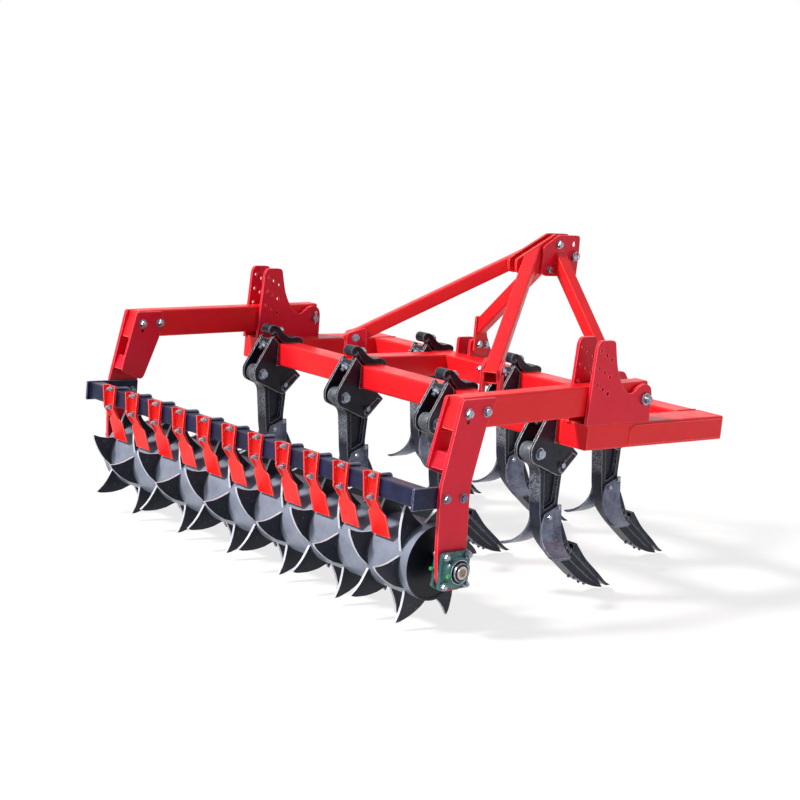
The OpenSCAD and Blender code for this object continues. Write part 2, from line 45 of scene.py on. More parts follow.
# Places are read off the plow itself, in millimetres: x from its middle, y from a line 50 mm
# ahead of the rear beam's rear face, and z from the frame's upper face
mm = 0.001
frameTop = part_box("rear_beam")[1][2]
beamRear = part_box("rear_beam")[0][1]
beamRearMm = -50
beamW, beamH = 140, 100
armPlateT = 16
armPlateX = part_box("arm_outer_plates")[1][0] / mm - armPlateT  # inner face of the outer arm plate
armTubeW = 70
shankEyeW = 60
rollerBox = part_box("roller_drum")
rollerY = ((rollerBox[0][1] + rollerBox[1][1]) / 2 - beamRear) / mm + beamRearMm
rollerZ = ((rollerBox[0][2] + rollerBox[1][2]) / 2 - frameTop) / mm
drumR = (rollerBox[1][2] - rollerBox[0][2]) / 2 / mm
rowStep = (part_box("front_beam")[0][1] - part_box("rear_beam")[0][1]) / mm
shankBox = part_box("front_shanks")
tinePitch = (shankBox[1][0] - shankBox[0][0] - shankEyeW * mm) / 2 / mm
rearTines = [i * tinePitch for i in (-1.5, -0.5, 0.5, 1.5)]
frontTines = [i * tinePitch for i in (-1, 0, 1)]
tines = [(x, 0) for x in rearTines] + [(x, rowStep) for x in frontTines]


def spot(x, y, z):
    return Vector((x * mm, beamRear + (y - beamRearMm) * mm, frameTop + z * mm))


# Camera at the photograph's angle
cameraSet = {
    "place": (5.45766, -5.25180, 1.90260),
    "turn": (80.470586, -5.620124, 47.665020),
    "lens": 79.6636,
    "sensor": 36,
}
camera = bpy.data.cameras.new("camera")
camera.lens = cameraSet["lens"]
camera.sensor_width = cameraSet["sensor"]
cameraObject = bpy.data.objects.new("camera", camera)
cameraObject.location = cameraSet["place"]
cameraObject.rotation_euler = [math.radians(a) for a in cameraSet["turn"]]
bpy.context.scene.collection.objects.link(cameraObject)
bpy.context.scene.camera = cameraObject
bpy.context.scene.view_settings.view_transform = "Standard"


# Node helpers. A colour is an sRGB hex string, made linear here alone
def linear(hexColour):
    parts = [int(hexColour[i:i + 2], 16) / 255 for i in (1, 3, 5)]
    return [c / 12.92 if c <= 0.04045 else ((c + 0.055) / 1.055) ** 2.4 for c in parts] + [1]


def addNode(tree, kind, settings=None, links=None):
    # settings are the node's own properties, or else constants on its sockets
    node = tree.nodes.new("ShaderNode" + kind)
    for name, value in (settings or {}).items():
        if isinstance(name, str) and hasattr(node, name):
            setattr(node, name, value)
        else:
            node.inputs[name].default_value = value
    for name, socket in (links or {}).items():
        tree.links.new(socket, node.inputs[name])
    return node


def newMaterial(name):
    material = bpy.data.materials.new(name)
    material.use_nodes = True
    tree = material.node_tree
    tree.nodes.clear()
    shader = addNode(tree, "BsdfPrincipled")
    output = addNode(tree, "OutputMaterial")
    tree.links.new(shader.outputs[0], output.inputs[0])
    place = addNode(tree, "TexCoord").outputs["Object"]
    return material, tree, shader, place


def spots(tree, place, sizeMm, detail=3, roughness=0.6, stretch=None):
    # Noise whose blotches are about sizeMm across
    if stretch:
        place = addNode(tree, "Mapping", {"Scale": stretch}, {"Vector": place}).outputs[0]
    settings = {"Scale": 1 / (sizeMm * mm), "Detail": detail, "Roughness": roughness}
    return addNode(tree, "TexNoise", settings, {"Vector": place}).outputs["Fac"]


def ramp(tree, factor, low, high, toLow=0.0, toHigh=1.0):
    settings = {"From Min": low, "From Max": high, "To Min": toLow, "To Max": toHigh}
    return addNode(tree, "MapRange", settings, {"Value": factor}).outputs[0]


def mixColour(tree, factor, a, b):
    node = addNode(tree, "Mix", {"data_type": "RGBA"})
    tree.links.new(factor, node.inputs[0])
    for socket, colour in ((6, a), (7, b)):
        if isinstance(colour, str):
            node.inputs[socket].default_value = linear(colour)
        else:
            tree.links.new(colour, node.inputs[socket])
    return node.outputs[2]


def maths(tree, how, a, b):
    node = addNode(tree, "Math", {"operation": how, "use_clamp": True})
    for socket, value in ((0, a), (1, b)):
        if isinstance(value, (int, float)):
            node.inputs[socket].default_value = value
        else:
            tree.links.new(value, node.inputs[socket])
    return node.outputs[0]


def edgeMask(tree, radiusMm, low=0.02, high=0.2):
    # 1 along sharp edges, from how far the rounded normal leans off the true one
    rounded = addNode(tree, "Bevel", {"samples": 4, "Radius": radiusMm * mm}).outputs[0]
    true = addNode(tree, "NewGeometry").outputs["Normal"]
    both = {0: rounded, 1: true}
    lean = addNode(tree, "VectorMath", {"operation": "DOT_PRODUCT"}, both).outputs["Value"]
    return ramp(tree, lean, 1 - low, 1 - high)


def part(tree, vector, axis):
    return addNode(tree, "SeparateXYZ", None, {0: vector}).outputs[axis]


def bump(tree, shader, height, strength, depthMm):
    settings = {"Strength": strength, "Distance": depthMm * mm}
    node = addNode(tree, "Bump", settings, {"Height": height})
    tree.links.new(node.outputs[0], shader.inputs["Normal"])


def unlitRays(tree):
    # 1 for the rays that show the white surroundings: from the camera, mirrored or let through
    ray = addNode(tree, "LightPath")
    camera, glossy, passing = [ray.outputs[f"Is {kind} Ray"]
                               for kind in ("Camera", "Glossy", "Transmission")]
    return maths(tree, "MAXIMUM", camera, maths(tree, "MAXIMUM", glossy, passing))


# Powder coat, sprayed and baked on welded steel: satin gloss with an orange peel, paler on the
# edges as a painted highlight, with faint dust in patches. The peel is drawn coarse so that it
# shows
coatSet = {"mottleMm": 180, "dustMm": 45, "dust": "#E0655A", "dustMost": 0.1, "edgeMm": 4,
           "roughMm": 60, "rough": (0.3, 0.45), "peelMm": 4, "peelDeep": 0.3, "peel": 0.12,
           "specular": 0.22, "coat": 0.05, "coatRough": 0.12}


def powderCoat(name, colour, deep, paintedHighlight, edge=0.8):
    material, tree, shader, place = newMaterial(name)
    mottle = ramp(tree, spots(tree, place, coatSet["mottleMm"]), 0.35, 0.7, 0, 0.5)
    mottled = mixColour(tree, mottle, colour, deep)
    dust = spots(tree, place, coatSet["dustMm"], 5, 0.7)
    dusty = ramp(tree, dust, 0.58, 0.8, 0, coatSet["dustMost"])
    dusted = mixColour(tree, dusty, mottled, coatSet["dust"])
    # Edges mixed towards the pale colour: a painted highlight
    edges = maths(tree, "MULTIPLY", edgeMask(tree, coatSet["edgeMm"]), edge)
    tree.links.new(mixColour(tree, edges, dusted, paintedHighlight), shader.inputs["Base Color"])
    rough = ramp(tree, spots(tree, place, coatSet["roughMm"], 4), 0.3, 0.7, *coatSet["rough"])
    tree.links.new(rough, shader.inputs["Roughness"])
    shader.inputs["Specular IOR Level"].default_value = coatSet["specular"]
    shader.inputs["Coat Weight"].default_value = coatSet["coat"]
    shader.inputs["Coat Roughness"].default_value = coatSet["coatRough"]
    peel = spots(tree, place, coatSet["peelMm"], 2)
    bump(tree, shader, peel, coatSet["peel"], coatSet["peelDeep"])
    return material


# Forged spring steel, dipped in black paint: satin, grey where soil and handling wore it, and pale
# along the edges, partly wear and partly a painted highlight.
# patch is a band of heights, in mm from the frame's top, where the rear faces are scuffed
wornSet = {"blotchMm": 30, "patchMm": 9, "edgeMm": 6, "streakMm": 9, "speckleMm": 6, "toneMm": 60,
           "fadeMm": 20, "rough": (0.32, 0.5), "metal": 0.45, "specular": 0.22}


def wornBlack(name, colour, lighter, wornAndHighlight, edge=0.8, streak=0.5, grain=1.2, patch=None):
    material, tree, shader, place = newMaterial(name)
    blotch = ramp(tree, spots(tree, place, wornSet["blotchMm"], 6, 0.7), 0.42, 0.62)
    patchy = ramp(tree, spots(tree, place, wornSet["patchMm"], 4), 0.3, 0.55, 0.35, 1)
    # Pale edges: partly rubbed wear and partly a painted highlight
    rubbedAndLitEdges = edgeMask(tree, wornSet["edgeMm"], 0.01, 0.14)
    edges = maths(tree, "MULTIPLY", rubbedAndLitEdges, maths(tree, "MULTIPLY", patchy, edge))
    streaky = spots(tree, place, wornSet["streakMm"], 7, 0.8, (1, 1, 0.5))
    streaks = ramp(tree, streaky, 0.6, 0.72, 0, streak)
    wearAndHighlight = maths(tree, "MAXIMUM", edges, maths(tree, "MULTIPLY", streaks, blotch))
    if patch:
        height = part(tree, place, 2)
        low, high = frameTop + patch[0] * mm, frameTop + patch[1] * mm
        fade = wornSet["fadeMm"] * mm
        band = maths(tree, "MULTIPLY", ramp(tree, height, low - fade, low + fade),
                     ramp(tree, height, high + fade, high - fade))
        rear = part(tree, addNode(tree, "TexCoord").outputs["Normal"], 1)
        band = maths(tree, "MULTIPLY", band, ramp(tree, rear, -0.3, -0.8))
        speckle = ramp(tree, spots(tree, place, wornSet["speckleMm"], 8, 0.85), 0.47, 0.6, 0, 0.9)
        wearAndHighlight = maths(tree, "MAXIMUM", wearAndHighlight, maths(tree, "MULTIPLY", band, speckle))
    tone = ramp(tree, spots(tree, place, wornSet["toneMm"], 5), 0.35, 0.65)
    base = mixColour(tree, tone, colour, lighter)
    tree.links.new(mixColour(tree, wearAndHighlight, base, wornAndHighlight), shader.inputs["Base Color"])
    tree.links.new(ramp(tree, wearAndHighlight, 0, 1, *wornSet["rough"]), shader.inputs["Roughness"])
    tree.links.new(ramp(tree, wearAndHighlight, 0, 1, 0, wornSet["metal"]), shader.inputs["Metallic"])
    shader.inputs["Specular IOR Level"].default_value = wornSet["specular"]
    bump(tree, shader, spots(tree, place, grain * 2, 4), 0.25, 0.4)
    return material


# Black stoving enamel over rolled steel pipe and laser-cut teeth: faces that look along the
# roller stay dark, all other faces carry a painted grey sheen in place of light, at least by the
# share given
rollerSet = {"litPatchMm": 70, "scuffMm": 15, "scuffMost": 0.25, "rough": (0.3, 0.4), "metal": 0.15,
             "specular": 0.25}


def rollerBlack(name, dark, shine, least):
    material, tree, shader, place = newMaterial(name)
    # Painted light: faces turned off the roller's axis get the grey, faces along it stay dark
    along = maths(tree, "ABSOLUTE", part(tree, addNode(tree, "TexCoord").outputs["Normal"], 0), 0)
    litFaces = ramp(tree, along, 0.4, 0.75, 1, 0)
    litPatches = ramp(tree, spots(tree, place, rollerSet["litPatchMm"], 5, 0.65), 0.3, 0.75, least, 1)
    rim = maths(tree, "MULTIPLY", litFaces, litPatches)
    scuffed = spots(tree, place, rollerSet["scuffMm"], 6, 0.7)
    scuffs = ramp(tree, scuffed, 0.6, 0.75, 0, rollerSet["scuffMost"])
    tone = maths(tree, "MAXIMUM", rim, scuffs)
    tree.links.new(mixColour(tree, tone, dark, shine), shader.inputs["Base Color"])
    tree.links.new(ramp(tree, tone, 0, 1, *rollerSet["rough"]), shader.inputs["Roughness"])
    tree.links.new(ramp(tree, tone, 0, 1, 0, rollerSet["metal"]), shader.inputs["Metallic"])
    shader.inputs["Specular IOR Level"].default_value = rollerSet["specular"]
    bump(tree, shader, spots(tree, place, 5, 3), 0.1, 0.3)
    return material


# Zinc-plated steel, from an electrolytic bath: bright, slightly blue, with soft clouds
def zincPlate(name, colour, dull):
    material, tree, shader, place = newMaterial(name)
    cloud = ramp(tree, spots(tree, place, 9, 4), 0.35, 0.65)
    tree.links.new(mixColour(tree, cloud, colour, dull), shader.inputs["Base Color"])
    tree.links.new(ramp(tree, cloud, 0, 1, 0.22, 0.4), shader.inputs["Roughness"])
    shader.inputs["Metallic"].default_value = 1
    bump(tree, shader, spots(tree, place, 2, 3), 0.08, 0.1)
    return material


# Sand-cast iron under gloss enamel: pebbled skin that breaks the highlights
def castEnamel(name, colour, deep):
    material, tree, shader, place = newMaterial(name)
    tree.links.new(mixColour(tree, ramp(tree, spots(tree, place, 18, 4), 0.35, 0.65), colour, deep),
                   shader.inputs["Base Color"])
    shader.inputs["Roughness"].default_value = 0.32
    shader.inputs["Coat Weight"].default_value = 0.4
    bump(tree, shader, spots(tree, place, 2.4, 4), 0.4, 0.5)
    return material


# Turned bare steel that has begun to rust: brown bloom in the middle, grey around it, and
# enamelled black further than bareMm from the roller's axis
def rustySteel(name, steel, rust, enamel, bareMm):
    material, tree, shader, place = newMaterial(name)
    bloom = ramp(tree, spots(tree, place, 10, 6, 0.7), 0.45, 0.62)
    middle = spot(0, rollerY, rollerZ)
    across = addNode(tree, "VectorMath", {"operation": "SUBTRACT", 1: middle}, {0: place})
    flat = addNode(tree, "VectorMath", {"operation": "MULTIPLY", 1: (0, 1, 1)},
                   {0: across.outputs[0]})
    length = addNode(tree, "VectorMath", {"operation": "LENGTH"}, {0: flat.outputs[0]})
    away = length.outputs["Value"]
    painted = ramp(tree, away, bareMm * mm, (bareMm + 1) * mm)
    middleOnly = ramp(tree, away, (bareMm - 10) * mm, (bareMm - 11.5) * mm)
    rusted = maths(tree, "MULTIPLY", middleOnly, ramp(tree, bloom, 0, 1, 0.6, 1))
    bloom = maths(tree, "MAXIMUM", rusted, ramp(tree, bloom, 0.8, 1, 0, 0.25))
    bare = mixColour(tree, bloom, steel, rust)
    tree.links.new(mixColour(tree, painted, bare, enamel), shader.inputs["Base Color"])
    tree.links.new(ramp(tree, bloom, 0, 1, 0.3, 0.75), shader.inputs["Roughness"])
    shine = maths(tree, "SUBTRACT", ramp(tree, bloom, 0, 1, 0.9, 0.1), painted)
    tree.links.new(shine, shader.inputs["Metallic"])
    shader.inputs["Specular IOR Level"].default_value = 0.25
    bump(tree, shader, spots(tree, place, 1.5, 4), 0.3, 0.3)
    return material


# Quenched boron steel, polished by soil and oiled: blue-grey, brushed along its length
def soilPolished(name, colour, dark, bright):
    material, tree, shader, place = newMaterial(name)
    cloud = ramp(tree, spots(tree, place, 70, 4), 0.3, 0.65)
    brushed = ramp(tree, spots(tree, place, 6, 5, 0.7, (1, 0.25, 0.1)), 0.4, 0.7, 0, 0.5)
    base = mixColour(tree, brushed, mixColour(tree, cloud, dark, colour), bright)
    # Pale edges: partly steel rubbed bright by soil and partly a painted highlight
    edges = maths(tree, "MULTIPLY", edgeMask(tree, 3), 0.9)
    tree.links.new(mixColour(tree, edges, base, "#B9C0CC"), shader.inputs["Base Color"])
    tree.links.new(ramp(tree, brushed, 0, 0.5, 0.28, 0.42), shader.inputs["Roughness"])
    shader.inputs["Metallic"].default_value = 0.5
    shader.inputs["Specular IOR Level"].default_value = 0.3
    bump(tree, shader, spots(tree, place, 3, 4), 0.15, 0.2)
    return material


# Moulded polyethylene cap: waxy, light passes a little way in
def softCap(name, colour):
    material, tree, shader, place = newMaterial(name)
    shade = ramp(tree, spots(tree, place, 4, 3), 0.3, 0.7, 0, 0.25)
    tree.links.new(mixColour(tree, shade, colour, "#0E3B22"), shader.inputs["Base Color"])
    shader.inputs["Roughness"].default_value = 0.4
    shader.inputs["Subsurface Weight"].default_value = 0.1
    return material


# The fourth colour of each red is the painted highlight on its edges
redTube = powderCoat("red powder coat on tube", "#DC1A20", "#C80C22", "#FFA89E")
# Plates carry a deeper, bluer copy of the same red: painted shade of their side faces
redPlateShaded = powderCoat("red powder coat on plate, deepened as painted shade", "#D40E2C", "#BC062A", "#FF9C9C")
redFolded = powderCoat("red powder coat on sheet", "#E8201C", "#D80E1A", "#FFA49C")
redWeld = powderCoat("red powder coat on weld", "#E0140F", "#B80A12", "#FF7060", 0.4)
# The third colour of each black is wear, and on the edges also a painted highlight
shankBlack = wornBlack("black dipped forging", "#0C0F1A", "#1E2538", "#AEB6C4", 0.8, 0.6, 1.2,
                       (-335, -225))
mountBlack = wornBlack("black painted plate", "#12141C", "#222735", "#D4DAE4", 1, 0.35)
eyeGrey = wornBlack("black painted casting", "#12151D", "#262C38", "#A8B0BC", 1, 0.9, 2)
beamBlack = wornBlack("black enamel on tube", "#0B0F28", "#171D42", "#A4AEC6", 1, 0.25)
eyeCast = wornBlack("scuffed grey casting", "#3A3F48", "#6B727D", "#BEC4CD", 1, 1, 3)
# The roller's second colours are the painted grey sheen of its lit faces
drumBlack = rollerBlack("black enamel on pipe", "#11141F", "#828CA0", 0.65)
rodSteel = soilPolished("black oxide rod", "#6E7690", "#3A4058", "#959DB3")
toothBlack = rollerBlack("black enamel on cut plate", "#22262F", "#C2C9D6", 0.8)
zinc = zincPlate("zinc plated steel", "#B4BCC8", "#79828F")
tealIron = castEnamel("teal enamelled cast iron", "#12605E", "#0A4144")
wingSteel = soilPolished("soil polished boron steel", "#646C82", "#2C3142", "#8F97AA")
pointSteel = soilPolished("oiled boron steel", "#1D2230", "#0C0F18", "#454C5E")
bareSteel = rustySteel("bare turned steel", "#B9B4B0", "#7A5038", "#0D1018", 27)
greaseCap = softCap("green polyethylene", "#2E9B4F")
# Painted shade: near-black discs and rings laid where holes and gaps look dark
paintedShade = wornBlack("painted shade of holes and gaps", "#07070A", "#0A0A0E", "#1A1A1E", 0.1, 0.1)
print("stage: materials made")

# Finish of every node of the frame: material and size of its broken edges in mm
finishes = {
    "rear_beam": (redTube, 1), "front_beam": (redTube, 1), "side_tubes": (redTube, 1),
    "side_doublers": (redTube, 1), "inner_rails": (redTube, 1),
    "side_plates_outer": (redPlateShaded, 1.6), "side_plates_inner": (redPlateShaded, 1.6),
    "arm_pins": (zinc, 1.5), "mast_head_plates": (redPlateShaded, 1.6),
    "mast_front_legs": (redTube, 1), "mast_rear_braces": (redTube, 1),
    "brace_clevises": (redPlateShaded, 1.6), "lower_link_plates": (redPlateShaded, 1.6),
    "lower_link_pins": (zinc, 1.5), "top_link_pin": (zinc, 1.5),
    "rear_mount_cheeks": (mountBlack, 1.6), "front_mount_cheeks": (mountBlack, 1.6),
    "rear_mount_straps": (eyeGrey, 1.6), "front_mount_straps": (eyeGrey, 1.6),
    "rear_shanks": (shankBlack, 4), "front_shanks": (shankBlack, 4),
    "tine_pivot_bolts": (zinc, 1.2), "rear_points": (pointSteel, 1.6),
    "front_points": (pointSteel, 1.6), "rear_wings": (wingSteel, 1.2),
    "front_wings": (wingSteel, 1.2), "arm_left": (redTube, 1), "arm_right": (redTube, 1),
    "arm_outer_plates": (redPlateShaded, 1.8), "arm_inner_plates": (redPlateShaded, 1.8),
    "scraper_beam_tube": (beamBlack, 1), "scraper_end_plates": (beamBlack, 1.4),
    "scrapers": (redPlateShaded, 1), "bearing_housings": (tealIron, 3),
    "roller_drum": (drumBlack, 1.2), "roller_shafts": (bareSteel, 1.5),
    "roller_teeth": (toothBlack, 1.4),
}


dressSet = {"joinMm": 0.02, "flatDegrees": 0.4, "cornerDegrees": 38, "segments": 2}


def dressNode(name, material, edgeMm):
    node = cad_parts[name]
    mesh = node.data
    mesh.materials.clear()
    mesh.materials.append(material)
    if "custom_normal" in mesh.attributes:
        mesh.attributes.remove(mesh.attributes["custom_normal"])
    mesh.shade_smooth()
    weld = node.modifiers.new("joined", "WELD")
    weld.merge_threshold = dressSet["joinMm"] * mm
    whole = node.modifiers.new("whole faces", "DECIMATE")
    whole.decimate_type = "DISSOLVE"
    whole.angle_limit = math.radians(dressSet["flatDegrees"])
    bevel = node.modifiers.new("broken edges", "BEVEL")
    bevel.width = edgeMm * mm
    bevel.segments = dressSet["segments"]
    bevel.limit_method = "ANGLE"
    bevel.angle_limit = math.radians(dressSet["cornerDegrees"])
    bevel.use_clamp_overlap = True
    bevel.face_strength_mode = "FSTR_ALL"
    flat = node.modifiers.new("flat faces", "WEIGHTED_NORMAL")
    flat.use_face_influence = True


for nodeName, (finish, edgeMm) in finishes.items():
    dressNode(nodeName, finish, edgeMm)
print("stage: frame dressed")


# Mesh helpers: every shape is a pair of lists, points in metres and faces
def lookAlong(place, direction):
    way = Vector(direction).normalized()
    return Matrix.Translation(place) @ way.to_track_quat("Z", "Y").to_matrix().to_4x4()


def rimPoint(matrix, radius, angle, height):
    # Radius and height in mm, about the matrix's Z axis
    around = Vector((radius * math.cos(angle), radius * math.sin(angle), height))
    return matrix @ (around * mm)


def turns(count):
    return [2 * math.pi * k / count for k in range(count)]


def lathe(profile, matrix, sides=24):
    # profile is a list of radius and height in mm; radius 0 closes the end
    points, faces, rings = [], [], []
    for radius, height in profile:
        angles = turns(sides) if radius else [0]
        rings.append(list(range(len(points), len(points) + len(angles))))
        points += [rimPoint(matrix, radius, a, height) for a in angles]
    for low, high in zip(rings, rings[1:]):
        for k in range(sides):
            n = (k + 1) % sides
            if len(low) == 1:
                faces.append((low[0], high[n], high[k]))
            elif len(high) == 1:
                faces.append((low[k], low[n], high[0]))
            else:
                faces.append((low[k], low[n], high[n], high[k]))
    return points, faces


def hexHead(matrix, across, height):
    # Hexagon with its corners turned off at the top
    points, faces = [], []
    corner = across / math.sqrt(3)
    for radius, level in ((corner, 0), (corner, height * 0.82), (corner * 0.9, height)):
        points += [rimPoint(matrix, radius, a, level) for a in turns(6)]
    for ring in (0, 6):
        for k in range(6):
            n = (k + 1) % 6
            faces.append((ring + k, ring + n, ring + 6 + n, ring + 6 + k))
    faces.append(tuple(range(5, -1, -1)))
    faces.append(tuple(range(12, 18)))
    return points, faces


def rod(path, radii, sides=10, closed=False):
    # Round bar through the points of path, with its own radius in mm at each
    points, faces = [], []
    count = len(path)
    side = None
    for i, centre in enumerate(path):
        if closed:
            way = (path[(i + 1) % count] - path[i - 1]).normalized()
        else:
            way = (path[min(i + 1, count - 1)] - path[max(i - 1, 0)]).normalized()
        if side is None:
            side = way.orthogonal().normalized()
        side = (side - way * side.dot(way)).normalized()
        other = way.cross(side)
        radius = (radii[i] if isinstance(radii, (list, tuple)) else radii) * mm
        points += [centre + (side * math.cos(a) + other * math.sin(a)) * radius
                   for a in turns(sides)]
    for i in range(count if closed else count - 1):
        for k in range(sides):
            n = (k + 1) % sides
            a, b = i * sides, ((i + 1) % count) * sides
            faces.append((a + k, a + n, b + n, b + k))
    if not closed:
        faces.append(tuple(range(sides - 1, -1, -1)))
        faces.append(tuple(range((count - 1) * sides, count * sides)))
    return points, faces


def slab(outline, x0, thickness):
    # Plate across X from a list of (y, z) points
    points = [spot(x, y, z) for x in (x0, x0 + thickness) for y, z in outline]
    n = len(outline)
    faces = [tuple(range(n - 1, -1, -1)), tuple(range(n, 2 * n))]
    faces += [(k, (k + 1) % n, n + (k + 1) % n, n + k) for k in range(n)]
    return points, faces


def makePiece(name, shapes, material, body, edgeMm=0.0, smooth=True):
    points, faces = [], []
    for somePoints, someFaces in shapes:
        start = len(points)
        points += somePoints
        faces += [tuple(i + start for i in face) for face in someFaces]
    mesh = bpy.data.meshes.new(name)
    mesh.from_pydata([tuple(p) for p in points], [], faces)
    mesh.validate()
    mesh.materials.append(material)
    piece = bpy.data.objects.new(name, mesh)
    bpy.context.scene.collection.objects.link(piece)
    if smooth:
        mesh.shade_smooth()
        mesh.set_sharp_from_angle(angle=math.radians(35))
    if edgeMm:
        bevel = piece.modifiers.new("broken edges", "BEVEL")
        bevel.width = edgeMm * mm
        bevel.segments = 2
        bevel.limit_method = "ANGLE"
    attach(piece, body)
    return piece


def thread(radius, low, high, pitch=2.5):
    # Profile of a screw end; the pitch is drawn a little coarse so that it shows
    profile = [(radius * 0.9, low)]
    height = low
    while height + pitch < high - 2:
        profile += [(radius, height + pitch * 0.3), (radius, height + pitch * 0.6),
                    (radius * 0.86, height + pitch)]
        height += pitch
    return profile + [(radius * 0.9, high - 1.5), (radius * 0.7, high), (0, high)]


# Parts of a bolt, as shares of its thread's size
boltForm = {"hole": 0.5, "washer": (1.08, 1.1), "washerT": 0.16, "across": 1.55, "head": 0.64,
            "nut": 0.8}


def washerAnd(matrix, size, height):
    # Washer with a hexagon of the given height on it
    t = size * boltForm["washerT"]
    hole = size * boltForm["hole"]
    low, high = [size * share for share in boltForm["washer"]]
    washer = lathe([(hole, 0), (low, 0), (high, t), (hole, t)], matrix)
    onTop = matrix @ Matrix.Translation((0, 0, t * mm))
    return [washer, hexHead(onTop, size * boltForm["across"], height)]


def boltHead(place, way, size):
    return washerAnd(lookAlong(place, way), size, size * boltForm["head"])


def nutEnd(place, way, size, stick=8):
    # Washer, nut and the bolt's screwed end, which stands stick mm proud of the nut
    matrix = lookAlong(place, way)
    top = size * (boltForm["washerT"] + boltForm["nut"])
    end = lathe(thread(size * 0.5, size * 0.5, top + stick), matrix, 16)
    return washerAnd(matrix, size, size * boltForm["nut"]) + [end]


def through(place, way, length, size):
    # A whole bolt: its head at place, its nut length mm further on against way
    way = Vector(way).normalized()
    return boltHead(place, way, size) + nutEnd(place - way * length * mm, -way, size)


def mirrored(points):
    return [(side, point) for side in (-1, 1) for point in points]


# Bolts of the mast and hitch
mastSet = {"head": [(823, 584), (776, 470)], "foot": [(797, 59), (843, 56)], "size": 18,
           "footSize": 16, "footPlateT": 12, "linkPlateT": 14}
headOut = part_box("mast_head_plates")[1][0] / mm
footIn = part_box("mast_front_legs")[1][0] / mm - mastSet["footPlateT"]
shapes = []
for y, z in mastSet["head"]:
    shapes += through(spot(headOut, y, z), (1, 0, 0), 2 * headOut, mastSet["size"])
for side, (y, z) in mirrored(mastSet["foot"]):
    grip = mastSet["footPlateT"] + mastSet["linkPlateT"]
    shapes += through(spot(side * footIn, y, z), (-side, 0, 0), grip, mastSet["footSize"])

# The rear braces stand askew, so their bolts and welds follow each brace's line seen from above
braceSet = {"foot": (437, 63, 97), "top": (-47, 770, 596), "half": 43, "size": 16}


def braceWays(side):
    foot, top = braceSet["foot"], braceSet["top"]
    level = Vector(((top[0] - foot[0]) * side, top[1] - foot[1], 0)).normalized()
    return level, Vector((level.y, -level.x, 0))


for side in (-1, 1):
    footX, footY, footZ = braceSet["foot"]
    across = braceWays(side)[1]
    place = spot(footX * side, footY, footZ) + across * braceSet["half"] * mm
    shapes += through(place, across, 2 * braceSet["half"], braceSet["size"])
makePiece("mast_bolts", shapes, zinc, "frame")

# Linch pins: a ring and a cross pin at the end of each hitch pin
linchPin = {"ringR": 19, "wire": 2.2, "pinR": 4, "past": 9, "ringOut": 9, "sway": 3,
            "top": (925, 530, 12.7, 0.3), "low": (850, -62, 14.2, 0.15), "topIn": 9, "lowIn": 8,
            "lowPinHalf": 4.5, "linkSpread": 866, "linkGap": 66}


def linch(x, y, z, pinR, lean):
    # pinR is the hitch pin's radius, and lean the linch pin's slant in radians
    centre = spot(x, y, z)
    along = Vector((0, math.sin(lean), math.cos(lean)))
    askew = Vector((0, math.cos(lean), -math.sin(lean)))
    reach = pinR + linchPin["past"]
    shapes = [rod([centre + along * d * mm for d in (-reach, 2 - reach, reach + 4, reach + 6)],
                  [2.5, linchPin["pinR"], linchPin["pinR"], 3])]
    top = centre + along * (reach + 2) * mm
    ringR = linchPin["ringR"] * mm
    ring = []
    for a in turns(28):
        out = Vector((linchPin["ringOut"] + math.sin(a) * linchPin["sway"], 0, 0)) * mm
        ring.append(top + out - along * ringR * (1 - math.cos(a)) + askew * ringR * math.sin(a))
    shapes.append(rod(ring, linchPin["wire"], 8, True))
    return shapes


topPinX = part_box("top_link_pin")[1][0] / mm
linkIn = (linchPin["linkSpread"] - linchPin["linkGap"]) / 2 - mastSet["linkPlateT"]
shapes = linch(topPinX - linchPin["topIn"], *linchPin["top"])
for side in (-1, 1):
    shapes += linch(side * (linkIn - linchPin["lowIn"]) - linchPin["lowPinHalf"], *linchPin["low"])
makePiece("linch_pins", shapes, zinc, "frame")
print("stage: mast fasteners made")

# Tine mounts: slanting tension bolts, washers under the pivot bolts, and the wings' bolts
tineSet = {"rodFrom": (-15, 52), "rodTo": (-97, -9), "rodR": 9, "head": 20, "stick": 14,
           "pivot": (-129, -140), "cheekOut": 46, "wingBolts": [(24, -370), (-24, -405)],
           "wingX": 38, "wingBolt": 11, "washer": [(12.3, 0), (24, 0), (24.5, 1.3), (12.3, 1.3)]}


def onTine(tine, dx, yz):
    return spot(tine[0] + dx, tine[1] + yz[0], yz[1])


shapes, washers = [], []
for tine in tines:
    high, low = onTine(tine, 0, tineSet["rodFrom"]), onTine(tine, 0, tineSet["rodTo"])
    way = (high - low).normalized()
    shapes += boltHead(high, way, tineSet["head"])
    shapes += nutEnd(low, -way, tineSet["head"], tineSet["stick"])
    shapes.append(rod([low, high], tineSet["rodR"], 14))
    for side, place in mirrored(tineSet["wingBolts"]):
        wingSide = onTine(tine, side * tineSet["wingX"], place)
        shapes += boltHead(wingSide, (side, 0, 0), tineSet["wingBolt"])
    for side in (-1, 1):
        cheek = onTine(tine, side * tineSet["cheekOut"], tineSet["pivot"])
        washers.append(lathe(tineSet["washer"], lookAlong(cheek, (side, 0, 0)), 28))
makePiece("tension_bolts", shapes, zinc, "frame")
makePiece("pivot_washers", washers, zinc, "frame")

